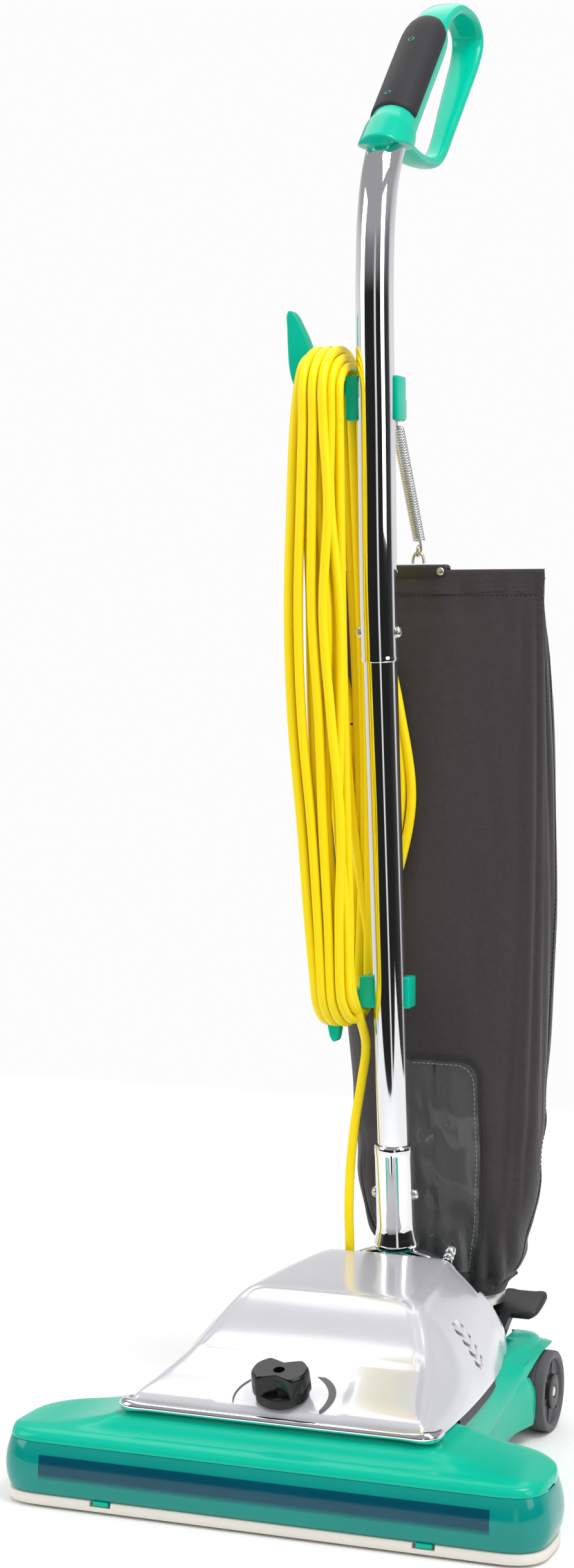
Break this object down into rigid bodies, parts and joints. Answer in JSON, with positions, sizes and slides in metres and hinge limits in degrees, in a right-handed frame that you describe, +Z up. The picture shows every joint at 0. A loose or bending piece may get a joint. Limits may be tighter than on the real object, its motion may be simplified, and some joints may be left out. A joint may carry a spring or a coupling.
{
  "type": "upright vacuum cleaner",
  "caption": "Upright commercial vacuum cleaner with wide nozzle, motor hood, tubular handle with loop grip, wound cord and hanging shake-out dust bag.",
  "frame": {"origin": "on the floor, at the middle of the machine's width and of its length over nozzle and handle, without the cord", "axes": "+Z up, -Y towards the front of the nozzle, +X towards the side with the release pedal and the foot switch"},
  "size_m": [0.4476, 0.5202, 1.2431],
  "materials": {
    "green_plastic": "glossy moulded green plastic",
    "teal_clear": "translucent teal plastic",
    "side_plastic": "matt grey-green plastic",
    "hood_grey": "silver-grey metallic paint on plastic",
    "chrome": "polished chrome plate",
    "steel": "zinc-plated steel",
    "black_plastic": "black moulded plastic",
    "knob_black": "glossy black plastic",
    "rubber": "soft black rubber",
    "wheel_grey": "grey plastic tread",
    "guard_grey": "warm light grey vinyl",
    "cord_yellow": "yellow PVC jacket",
    "bag_cloth": "charcoal woven cloth",
    "bristle": "black nylon bristle",
    "aluminium": "die-cast aluminium"
  },
  "bodies": {
    "base": {"nozzle_housing": "green_plastic", "front_window": "teal_clear", "furniture_guard": "guard_grey", "bottom_plate": "steel", "magnet_bar": "steel", "brush_bearing_left": "black_plastic", "brush_bearing_right": "black_plastic", "drive_belt": "rubber", "fan_housing": "black_plastic", "motor_case": "aluminium", "motor_end_cap": "black_plastic", "exhaust_duct": "black_plastic", "bag_collar_clamp": "steel", "chassis_pan": "steel", "rear_housing": "green_plastic", "side_panel_left": "side_plastic", "side_panel_right": "side_plastic", "rear_axle": "steel", "carriage_pin": "steel", "motor_hood": "hood_grey", "hood_trim": "chrome", "hood_screw_left": "steel", "hood_screw_right": "steel", "pedal_pin": "steel", "foot_switch_body": "black_plastic", "strain_relief": "rubber", "cord_bracket": "steel", "pivot_bracket_left": "steel", "fork_pin_left": "steel", "pivot_bracket_right": "steel", "fork_pin_right": "steel"},
    "handle": {"handle_fork": "chrome", "lower_tube": "chrome", "upper_tube": "chrome", "socket_bolt": "steel", "tube_bolt": "steel", "grip_shell": "green_plastic", "grip_insert": "rubber", "upper_cord_hook": "green_plastic", "lower_cord_hook": "green_plastic", "bag_spring": "steel", "bag_top_clip": "steel", "dust_bag": "bag_cloth", "cord_hank": "cord_yellow", "cord_run": "cord_yellow", "cord_plug": "cord_yellow"},
    "brush": {"brush_roll": "aluminium", "bristle_strip_left": "bristle", "bristle_strip_right": "bristle"},
    "rotor": {"motor_shaft": "steel", "suction_fan": "black_plastic"},
    "wheel_left": {"rear_wheel_left": "wheel_grey"},
    "wheel_right": {"rear_wheel_right": "wheel_grey"},
    "carriage": {"front_carriage": "steel"},
    "roller_left": {"front_roller_left": "rubber"},
    "roller_right": {"front_roller_right": "rubber"},
    "dial": {"height_knob": "knob_black"},
    "pedal": {"release_pedal": "black_plastic"},
    "switch": {"foot_switch_button": "steel"}
  },
  "joints": [
    {"name": "handle_recline", "type": "hinge", "parent": "base", "child": "handle", "pos_m": [0, 0.0712, 0.072], "axis": [-1, 0, 0], "range_deg": [0, 30], "deforming": ["dust_bag", "cord_run"]},
    {"name": "brush_spin", "type": "hinge", "parent": "base", "child": "brush", "pos_m": [0, -0.2128, 0.024], "axis": [1, 0, 0], "continuous": true},
    {"name": "rotor_spin", "type": "hinge", "parent": "base", "child": "rotor", "pos_m": [0, -0.0428, 0.072], "axis": [0, 1, 0], "continuous": true},
    {"name": "wheel_left_spin", "type": "hinge", "parent": "base", "child": "wheel_left", "pos_m": [-0.126, 0.0872, 0.0345], "axis": [1, 0, 0], "continuous": true},
    {"name": "wheel_right_spin", "type": "hinge", "parent": "base", "child": "wheel_right", "pos_m": [0.126, 0.0872, 0.0345], "axis": [1, 0, 0], "continuous": true},
    {"name": "carriage_tilt", "type": "hinge", "parent": "base", "child": "carriage", "pos_m": [0, -0.1078, 0.017], "axis": [1, 0, 0], "range_deg": [0, 3]},
    {"name": "roller_left_spin", "type": "hinge", "parent": "carriage", "child": "roller_left", "pos_m": [-0.066, -0.1388, 0.012], "axis": [1, 0, 0], "continuous": true},
    {"name": "roller_right_spin", "type": "hinge", "parent": "carriage", "child": "roller_right", "pos_m": [0.066, -0.1388, 0.012], "axis": [1, 0, 0], "continuous": true},
    {"name": "height_dial_turn", "type": "hinge", "parent": "base", "child": "dial", "pos_m": [0, -0.2048, 0.0932], "axis": [0, -0.27, 0.9629], "range_deg": [0, 60]},
    {"name": "pedal_press", "type": "hinge", "parent": "base", "child": "pedal", "pos_m": [0, 0.0982, 0.07], "axis": [-1, 0, 0], "range_deg": [0, 6], "stiffness_Nm_per_rad": 0.4, "springref_deg": -28.65},
    {"name": "switch_press", "type": "slide", "parent": "base", "child": "switch", "axis": [0, -0.8197, -0.5728], "range_m": [0, 0.003], "stiffness_N_per_m": 400, "springref_m": -0.003}
  ],
  "couplings": [
    {"joint": "rotor_spin", "follows": "brush_spin", "ratio": 1.8},
    {"joint": "carriage_tilt", "follows": "height_dial_turn", "ratio": 0.05}
  ]
}
